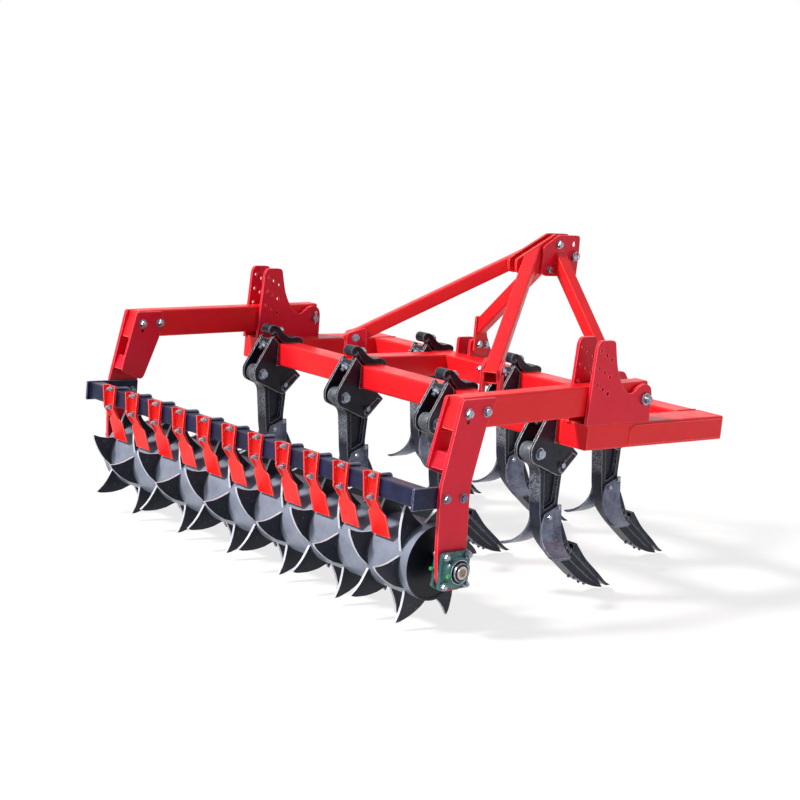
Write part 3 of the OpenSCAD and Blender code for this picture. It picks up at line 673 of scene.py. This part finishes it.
# Cast collars on the shanks' eyes, and the rolled bushes inside the straps' hooks
eyeSet = {"r": 37.6, "crown": 1.2, "half": 29.5, "bush": (-77, 61), "bushR": 23, "bushHalf": 28}
rim, h = eyeSet["r"], eyeSet["half"]
crown = rim + eyeSet["crown"]
collarForm = [(rim - 4, -h), (rim, -h + 2), (rim, -h * 0.6), (crown, -h * 0.5),
              (crown, h * 0.5), (rim, h * 0.6), (rim, h - 2), (rim - 4, h)]
rim, h = eyeSet["bushR"], eyeSet["bushHalf"]
bushForm = [(0, -h + 1.5), (rim - 8, -h + 1.5), (rim - 7, -h), (rim - 2, -h), (rim, -h + 2),
            (rim, h - 2), (rim - 2, h), (rim - 7, h), (rim - 8, h - 1.5), (0, h - 1.5)]
collars, bushes = [], []
for tine in tines:
    collars.append(lathe(collarForm, lookAlong(onTine(tine, 0, tineSet["pivot"]), (1, 0, 0)), 40))
    bushes.append(lathe(bushForm, lookAlong(onTine(tine, 0, eyeSet["bush"]), (1, 0, 0)), 36))
makePiece("eye_collars", collars, eyeCast, "frame")
makePiece("strap_bushes", bushes, eyeGrey, "frame")

# Plow bolts that hold the points, heads let into the share
pointSet = {"at": [(196, -566), (252, -622)], "way": (0, 0.72, 0.69),
            "head": [(0, -2), (9, -2), (9.5, 0.6), (8, 1.8), (0, 2.2)]}
shapes = []
for tine in tines:
    for place in pointSet["at"]:
        matrix = lookAlong(onTine(tine, 0, place), pointSet["way"])
        shapes.append(lathe(pointSet["head"], matrix, 20))
makePiece("share_bolts", shapes, zinc, "frame")

# Shares: ribs pressed into their faces, ridges along the shanks' feet, webs and bolt ends.
# Ribs close in towards the point, and ridges do from their third place on
ribSet = {"face": [(176, -541), (206, -573), (238, -607), (272, -646), (306, -684)],
          "faceX": (-17, 0, 17), "faceTaper": 0.1,
          "ridges": [[(58, -548), (110, -578), (190, -634), (262, -684), (330, -722)],
                     [(104, -536), (150, -570), (214, -618), (276, -664), (340, -714)]],
          "side": 30, "ridgeTaper": 0.06, "r": 3.2, "tip": 1.5,
          "webs": [[(96, -512), (74, -548)], [(118, -530), (98, -562)], [(142, -550), (124, -582)]],
          "ends": [(196, -682), (262, -712)], "endX": 15, "endWay": (0, -0.55, -0.83),
          "endForm": [(6, -8), (6, 6), (5, 8), (0, 8)]}
ribs, ends = [], []
for tine in tines:
    for dx in ribSet["faceX"]:
        path = [onTine(tine, dx * (1 - ribSet["faceTaper"] * k), place)
                for k, place in enumerate(ribSet["face"])]
        ribs.append(rod(path, [ribSet["tip"]] + [ribSet["r"]] * 3 + [ribSet["tip"]], 8))
    for side, line in mirrored(ribSet["ridges"] + ribSet["webs"]):
        path = []
        for k, place in enumerate(line):
            closer = 1 - ribSet["ridgeTaper"] * max(0, k - 2)
            path.append(onTine(tine, side * ribSet["side"] * closer, place))
        ribs.append(rod(path, ribSet["r"], 8))
    for side, place in mirrored(ribSet["ends"]):
        matrix = lookAlong(onTine(tine, side * ribSet["endX"], place), ribSet["endWay"])
        ends.append(lathe(ribSet["endForm"], matrix, 14))
makePiece("share_ribs", ribs, shankBlack, "frame")
makePiece("share_bolt_ends", ends, rodSteel, "frame")
print("stage: tine fasteners made")

# Arms: bolts through the tube's end, scraper beam bolts, and a dark disc of painted shade where
# each plate has a spare hole
armSet = {"tubeBolts": [(-706, 77), (-614, 80)], "size": 18, "innerT": 12,
          "beamBolts": [(-774, -232), (-688, -235)], "beamSize": 16, "beamPlateT": 10,
          "spareHole": (-704, 45), "hole": [(0, 0), (7.5, 0), (7.5, 0.5), (0, 0.5)]}
outer = armPlateX + armPlateT
inner = armPlateX - armTubeW - armSet["innerT"]
shapes, darkBolts = [], []
for side, (y, z) in mirrored(armSet["tubeBolts"]):
    shapes += through(spot(side * outer, y, z), (side, 0, 0), outer - inner, armSet["size"])
for side, (y, z) in mirrored(armSet["beamBolts"]):
    darkBolts += through(spot(side * outer, y, z), (side, 0, 0), armPlateT + armSet["beamPlateT"],
                         armSet["beamSize"])
makePiece("arm_bolts", shapes, zinc, "roller_arms")
makePiece("beam_bolts", darkBolts, rodSteel, "roller_arms")
holeShades = []
for side, (x, way) in mirrored([(outer, 1), (inner, -1)]):
    place = spot(side * x, *armSet["spareHole"])
    holeShades.append(lathe(armSet["hole"], lookAlong(place, (side * way, 0, 0)), 20))
makePiece("arm_spare_hole_shades", holeShades, paintedShade, "roller_arms")

# Pins that the arms swing on: a stepped turned head outside, a cotter inside
pinSet = {"at": (267, 93), "plateT": 14, "cotterIn": 16, "cotter": (-26, -24, 22, 24),
          "cotterR": [1.5, 3, 3, 2.5], "eyeR": 6, "eyeUp": 28, "wire": 2.4,
          "head": [(17, 0), (24, 0), (25, 1), (25, 9), (24, 10.5), (18, 10.5), (17.5, 12),
                   (17.5, 24), (15.5, 26), (6, 26), (4, 24.5), (0, 24.5)]}
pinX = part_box("side_plates_outer")[1][0] / mm
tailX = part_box("side_plates_inner")[1][0] / mm - pinSet["plateT"] - pinSet["cotterIn"]
shapes = []
for side in (-1, 1):
    matrix = lookAlong(spot(side * pinX, *pinSet["at"]), (side, 0, 0))
    shapes.append(lathe(pinSet["head"], matrix, 36))
    tail = spot(side * tailX, *pinSet["at"])
    shapes.append(rod([tail + Vector((0, 0, d * mm)) for d in pinSet["cotter"]], pinSet["cotterR"]))
    r = pinSet["eyeR"]
    eye = [tail + Vector((0, math.sin(a) * r * mm, (pinSet["eyeUp"] + math.cos(a) * r) * mm))
           for a in turns(16)]
    shapes.append(rod(eye, pinSet["wire"], 8, True))
makePiece("arm_pin_heads", shapes, zinc, "frame")
print("stage: arm fasteners made")

# Scrapers: folded plates with two flanges to the rear, each held by a bent rod over the beam
scraperSet = {"count": 11, "solidW": 100, "rear": -916, "rod": 6.5, "rodX": 4, "rodFront": -830,
              "rodTurn": 12, "nutZ": (-187, -267), "size": 12, "stick": 14, "t": 5,
              "rivetZ": (-200, -256), "rivetIn": 13,
              "rivet": [(3.6, 0), (3.6, 1), (2.6, 2.2), (0, 2.5)]}
# By level: y and z of the rear face, left and right edge, depth of the left and right flange
scraperForm = [(-916, -174, -28, 33, 27, 5), (-916, -272, -27, 34, 15, 8),
               (-892, -312, -28, 35, 6, 6), (-888, -320, -30, 36, 1, 1),
               (-884, -332, -44, 52, 0, 0), (-848, -421, -50, 50, 0, 0)]
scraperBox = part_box("scrapers")
scraperSpan = (scraperBox[1][0] - scraperBox[0][0]) / mm - scraperSet["solidW"]
scraperPitch = scraperSpan / (scraperSet["count"] - 1)
scraperMiddle = (scraperBox[1][0] + scraperBox[0][0]) / 2 / mm


def scraperPlate(x):
    points, faces = [], []
    t = scraperSet["t"]
    for y, z, left, right, deepLeft, deepRight in scraperForm:
        section = ((left, y - deepLeft), (left + t, y - deepLeft), (left + t, y),
                   (right - t, y), (right - t, y - deepRight), (right, y - deepRight),
                   (right, y + t), (left, y + t))
        points += [spot(x + px, py, z) for px, py in section]
    for row in range(len(scraperForm) - 1):
        for k in range(8):
            n = (k + 1) % 8
            faces.append((row * 8 + k, row * 8 + n, row * 8 + 8 + n, row * 8 + 8 + k))
    last = (len(scraperForm) - 1) * 8
    faces += [(0, 7, 2, 1), (2, 7, 6, 3), (3, 6, 5, 4)]
    faces += [(last, last + 1, last + 2, last + 7), (last + 2, last + 3, last + 6, last + 7),
              (last + 3, last + 4, last + 5, last + 6)]
    return points, faces


def scraperRod(x):
    rear, front, turn = scraperSet["rear"], scraperSet["rodFront"], scraperSet["rodTurn"]
    high, low = scraperSet["nutZ"]
    quarter = [math.pi / 2 * k / 6 for k in range(7)]
    path = [spot(x, rear, high)]
    path += [spot(x, front - turn + turn * math.sin(a), high - turn + turn * math.cos(a))
             for a in quarter]
    path += [spot(x, front - turn + turn * math.cos(a), low + turn - turn * math.sin(a))
             for a in quarter]
    path.append(spot(x, rear, low))
    return rod(path, scraperSet["rod"], 12)


plates, rods, nuts, rivets = [], [], [], []
for i in range(scraperSet["count"]):
    x = scraperMiddle + (i - (scraperSet["count"] - 1) / 2) * scraperPitch
    plates.append(scraperPlate(x))
    rods.append(scraperRod(x + scraperSet["rodX"]))
    for z in scraperSet["nutZ"]:
        nuts += nutEnd(spot(x + scraperSet["rodX"], scraperSet["rear"], z), (0, -1, 0),
                       scraperSet["size"], scraperSet["stick"])
    flangeX = x + scraperForm[0][2] + scraperSet["t"]
    for z in scraperSet["rivetZ"]:
        place = spot(flangeX, scraperSet["rear"] - scraperSet["rivetIn"], z)
        rivets.append(lathe(scraperSet["rivet"], lookAlong(place, (1, 0, 0)), 14))
plateForms = makePiece("scraper_plates", plates, redFolded, "roller_arms", 1)
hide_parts("scrapers")
makePiece("scraper_rods", rods, rodSteel, "roller_arms")
makePiece("scraper_nuts", nuts, zinc, "roller_arms")
makePiece("scraper_rivets", rivets, zinc, "roller_arms")
print("stage: scraper fasteners made")

# Bearings: domed hub, steel inner ring with set screws, flange bolts and a capped grease
# nipple. A second flange clamps the arm plate from inside, with a nipple of its own
bearingSet = {"flangeT": 16, "pitch": 55.5, "bolt": 13.5, "stick": 7, "bossT": 3, "backT": 14,
              "backHalf": 71.5, "corner": 16, "screws": (0.6, 2.7), "screwR": 34.6, "screwAt": 29,
              "hub": [(66, -1), (64, 1.5), (59, 4), (56, 8), (54.6, 17), (53, 21), (50, 23.2),
                      (47.5, 23.4), (46.5, 21.5), (46, 17)],
              "boss": [(15.5, -1), (15, 2), (14, 3), (9, 3)],
              "gapShades": [([(44, 22.2), (43, 22.8), (36, 22.8), (34.6, 25)], 56),
                        ([(32.4, 34), (32, 34.9), (27.4, 34.9), (27, 34)], 48)],
              "rings": [[(47, 21), (46.6, 25.4), (45.6, 26), (43.4, 26), (42.8, 22)],
                        [(35.6, 22), (35.6, 33.4), (34.8, 35.2), (32.6, 35.2), (32.2, 34)]],
              "cap": [(5.5, -1), (5.5, 3), (4, 4), (4, 7), (6.6, 7.5), (7, 9), (6.8, 16),
                      (5.4, 18.4), (0, 19)],
              "capUp": 10, "capR": 56, "backCap": (8, -70, 6)}


def backFlange(x0):
    # Square with rounded corners, about the roller's axis
    inset, r = bearingSet["backHalf"] - bearingSet["corner"], bearingSet["corner"]
    outline = []
    for quarter, (cy, cz) in enumerate(((1, 1), (-1, 1), (-1, -1), (1, -1))):
        for a in [math.pi / 2 * (quarter + k / 5) for k in range(6)]:
            outline.append((rollerY + cy * inset + r * math.cos(a),
                            rollerZ + cz * inset + r * math.sin(a)))
    return slab(outline, x0, bearingSet["backT"])


hubs, rings, bolts, nipples, backs, gapShades = [], [], [], [], [], []
for side in (-1, 1):
    flangeX = side * (armPlateX + armPlateT + bearingSet["flangeT"])
    backX = side * (armPlateX - bearingSet["backT"])
    out = (side, 0, 0)
    matrix = lookAlong(spot(flangeX, rollerY, rollerZ), out)
    hubs.append(lathe(bearingSet["hub"], matrix, 56))
    # Dark rings of painted shade fill the gaps between the hub and the steel rings
    gapShades += [lathe(profile, matrix, sides) for profile, sides in bearingSet["gapShades"]]
    rings += [lathe(profile, matrix, 56) for profile in bearingSet["rings"]]
    for sy, sz in ((-1, -1), (-1, 1), (1, -1), (1, 1)):
        y, z = rollerY + sy * bearingSet["pitch"], rollerZ + sz * bearingSet["pitch"]
        hubs.append(lathe(bearingSet["boss"], lookAlong(spot(flangeX, y, z), out)))
        bolts += nutEnd(spot(flangeX + side * bearingSet["bossT"], y, z), out,
                        bearingSet["bolt"], bearingSet["stick"])
        bolts += boltHead(spot(backX, y, z), (-side, 0, 0), bearingSet["bolt"])
    for a in bearingSet["screws"]:
        way = Vector((0, math.cos(a), math.sin(a)))
        middle = matrix @ Vector((0, 0, bearingSet["screwAt"] * mm))
        rings.append(hexHead(lookAlong(middle + way * bearingSet["screwR"] * mm, way), 7, 2.5))
    backs.append(backFlange(backX if side > 0 else -armPlateX))
    up = Vector((side * 0.3, -0.94, -0.12)).normalized()
    foot = matrix @ Vector((0, 0, bearingSet["capUp"] * mm)) + up * bearingSet["capR"] * mm
    backIn, backY, backZ = bearingSet["backCap"]
    backFoot = spot(side * (armPlateX - backIn), rollerY + backY, rollerZ + backZ)
    nipples.append(lathe(bearingSet["cap"], lookAlong(backFoot, (0, -1, 0)), 16))
    nipples.append(lathe(bearingSet["cap"], lookAlong(foot, up), 16))
makePiece("bearing_hubs", hubs, tealIron, "roller_arms")
makePiece("bearing_backs", backs, tealIron, "roller_arms", 2, False)
makePiece("bearing_gap_shades", gapShades, paintedShade, "roller_arms")
makePiece("bearing_rings", rings, zinc, "roller_arms")
makePiece("bearing_bolts", bolts, zinc, "roller_arms")
makePiece("grease_nipples", nipples, greaseCap, "roller_arms")
print("stage: bearings made")

# Weld beads: a rippled fillet along each seam. keepOff is how far the seams of the beams stay
# from the tubes' rounded corners
weldSet = {"radius": 5, "fine": 4, "thin": 3.5, "thinnest": 3, "seam": 2.6, "end": 0.8,
           "ripple": 0.16, "wave": 7, "step": 3.5, "keepOff": 8, "sideTubeW": 140, "railW": 96,
           "plateY": (-62, 308), "plateT": 14, "plateGap": 82, "linkX": (400, 386, 480, 466),
           "braceAcross": (-43, -31, 31, 43), "braceAlong": (-37, 30)}


def bead(corners, radius=weldSet["radius"]):
    path, radii, travelled = [], [], 0.0
    for start, end in zip(corners, corners[1:]):
        length = (end - start).length / mm
        count = max(2, int(length / weldSet["step"]))
        for k in range(count):
            path.append(start.lerp(end, k / count))
            ripple = weldSet["ripple"] * math.sin(2 * math.pi * travelled / weldSet["wave"])
            radii.append(radius * (1 + ripple))
            travelled += length / count
    path.append(corners[-1])
    radii.append(radius * weldSet["end"])
    radii[0] = radius * weldSet["end"]
    return rod(path, radii, 6)


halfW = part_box("side_tubes")[1][0] / mm
sideIn = halfW - weldSet["sideTubeW"]
beamFront = beamRearMm + beamW
frontRear = beamRearMm + rowStep
frontFace = frontRear + beamW
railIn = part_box("inner_rails")[1][0] / mm - weldSet["railW"]
railOut = railIn + weldSet["railW"]
off, fine, thin = weldSet["keepOff"], weldSet["fine"], weldSet["thin"]
frameBeads = []


def frameSeam(start, end, radius=weldSet["radius"]):
    # The same seam on both sides of the machine
    for side in (-1, 1):
        ends = [spot(side * x, y, z) for x, y, z in (start, end)]
        frameBeads.append(bead(ends, radius))


for y0, y1 in ((beamRearMm, beamFront), (frontRear, frontFace)):
    frameSeam((sideIn, y0 + off, 0), (sideIn, y1 - off, 0), fine)
    for y in (y0, y1):
        frameSeam((sideIn, y, -off), (sideIn, y, off - beamH), fine)
for y in (beamFront, frontRear):
    for x in (railIn, railOut):
        frameSeam((x, y, -off), (x, y, off - beamH), fine)
    frameSeam((railIn + off, y, -2), (railOut - off, y, -2), fine)
plateY0, plateY1 = weldSet["plateY"]
plateIn = halfW - weldSet["plateT"] - weldSet["plateGap"]
for x in (halfW - weldSet["plateT"], plateIn, plateIn - weldSet["plateT"]):
    frameSeam((x, plateY0, 1), (x, plateY1, 1))
frameSeam((halfW - 1, plateY0, -3), (halfW - 1, plateY1, -3), thin)
frameSeam((halfW + 1, 200, -88), (halfW + 1, 200, -14), weldSet["seam"])
for x in weldSet["linkX"]:
    frameSeam((x, 756, 1), (x, 788, 0), fine)
    frameSeam((x, 792, -6), (x, 792, -94), fine)
frameSeam((headOut, 808, 470), (headOut, 808, 552), thin)
frameSeam((footIn, 775, 112), (footIn, 775, 188), thin)
for side in (-1, 1):
    level, across = braceWays(side)
    foot = spot(side * braceSet["foot"][0], braceSet["foot"][1], 1)
    for offset in weldSet["braceAcross"]:
        ends = [foot + (across * offset + level * along) * mm for along in weldSet["braceAlong"]]
        frameBeads.append(bead(ends, thin))
makePiece("frame_welds", frameBeads, redWeld, "frame")

armIn = armPlateX - armTubeW
thinnest = weldSet["thinnest"]
armSeams = [((x, -582, 70), (x, -607, 20), fine) for x in (armPlateX, armIn)]
armSeams += [((x, -735, 124), (x, -745, 92), thinnest) for x in (armPlateX, armIn)]
armSeams += [((armPlateX, -618, 3), (armPlateX, -752, -1), fine),
             ((armIn, -622, 3), (armIn, -752, -1), fine),
             ((armPlateX - 4, -722, 124), (armIn + 4, -722, 124), thinnest)]
armBeads = []
for side, (start, end, radius) in mirrored(armSeams):
    armBeads.append(bead([spot(side * x, y, z) for x, y, z in (start, end)], radius))
makePiece("arm_welds", armBeads, redWeld, "roller_arms")

# Fillets at the roots of the roller's teeth, whose rings are turned to and fro by turn degrees
toothSet = {"rings": 12, "teeth": 6, "turn": 22, "margin": 43, "t": 12, "from": -12, "to": 40,
            "steps": 10, "bead": 3.4, "ripple": 0.7, "wave": 2.3}
drumLen = (rollerBox[1][0] - rollerBox[0][0]) / mm
ringPitch = (drumLen - 2 * toothSet["margin"] - toothSet["t"]) / (toothSet["rings"] - 1)
steps = range(toothSet["steps"])
stepTurn = (toothSet["to"] - toothSet["from"]) / (toothSet["steps"] - 1)
radii = [toothSet["bead"] + toothSet["ripple"] * math.sin(n * toothSet["wave"]) for n in steps]
roots = []
for i in range(toothSet["rings"]):
    ringX = (i - (toothSet["rings"] - 1) / 2) * ringPitch
    for side, k in [(side, k) for k in range(toothSet["teeth"]) for side in (-1, 1)]:
        tooth = 180 - ((i + 1) % 2) * toothSet["turn"] + k * 360 / toothSet["teeth"]
        path = []
        for step in steps:
            a = math.radians(tooth + toothSet["from"] + step * stepTurn)
            path.append(spot(ringX + side * toothSet["t"] / 2, rollerY + drumR * math.cos(a),
                             rollerZ + drumR * math.sin(a)))
        roots.append(rod(path, radii, 6))
makePiece("tooth_welds", roots, drumBlack, "roller")
print("stage: welds made")


# Pale floor that fades to white, with the plow's shadow on it. fade is the distance in metres
# from where to where it fades, and the share of white in the middle
floorSet = {"half": 40, "colour": "#F7F7F6", "grain": "#F4F4F3", "grainMm": 400,
            "fade": (1.6, 3.4, 0.76)}


def paleFloor(name):
    material = bpy.data.materials.new(name)
    material.use_nodes = True
    tree = material.node_tree
    tree.nodes.clear()
    place = addNode(tree, "TexCoord").outputs["Object"]
    grain = ramp(tree, spots(tree, place, floorSet["grainMm"]), 0.3, 0.7, 0, 0.3)
    colour = mixColour(tree, grain, floorSet["colour"], floorSet["grain"])
    shade = addNode(tree, "BsdfDiffuse", None, {"Color": colour})
    glow = addNode(tree, "Emission", {"Color": (1, 1, 1, 1), "Strength": 1})
    away = addNode(tree, "VectorMath", {"operation": "LENGTH"}, {0: place}).outputs["Value"]
    near, far, least = floorSet["fade"]
    share = maths(tree, "MULTIPLY", unlitRays(tree), ramp(tree, away, near, far, least, 1))
    both = addNode(tree, "MixShader", None, {0: share, 1: shade.outputs[0], 2: glow.outputs[0]})
    addNode(tree, "OutputMaterial", None, {0: both.outputs[0]})
    return material


half = floorSet["half"]
corners = [(-half, -half, 0), (half, -half, 0), (half, half, 0), (-half, half, 0)]
floorMesh = bpy.data.meshes.new("floor")
floorMesh.from_pydata(corners, [], [(0, 1, 2, 3)])
floorMesh.materials.append(paleFloor("pale studio floor"))
floor = bpy.data.objects.new("floor", floorMesh)
bpy.context.scene.collection.objects.link(floor)

# Soft studio light: a broad key from behind the roller's left, a weak fill, and a room whose
# light is dimmer than the white that the camera sees
lightSet = {"key": 5.0, "keyAngle": 9, "keyFrom": (-1.6, -4.6, 4.2), "keyTint": (1, 0.92, 0.84),
            "fill": 0.26, "fillAngle": 50, "fillFrom": (5, -1, 2.2), "fillTint": (0.9, 0.92, 1),
            "room": 0.4, "roomTint": (0.84, 0.9, 1, 1)}
for name in ("key", "fill"):
    lamp = bpy.data.lights.new(name, "SUN")
    lamp.energy = lightSet[name]
    lamp.angle = math.radians(lightSet[name + "Angle"])
    lamp.color = lightSet[name + "Tint"]
    lampObject = bpy.data.objects.new(name, lamp)
    lampObject.rotation_euler = Vector(lightSet[name + "From"]).to_track_quat("Z", "Y").to_euler()
    bpy.context.scene.collection.objects.link(lampObject)
world = bpy.data.worlds.new("room")
bpy.context.scene.world = world
world.use_nodes = True
tree = world.node_tree
tree.nodes.clear()
dim = addNode(tree, "Background", {"Color": lightSet["roomTint"], "Strength": lightSet["room"]})
white = addNode(tree, "Background", {"Color": (1, 1, 1, 1), "Strength": 1})
both = addNode(tree, "MixShader", None,
               {0: unlitRays(tree), 1: dim.outputs[0], 2: white.outputs[0]})
addNode(tree, "OutputWorld", None, {0: both.outputs[0]})
print("stage: floor and light made")
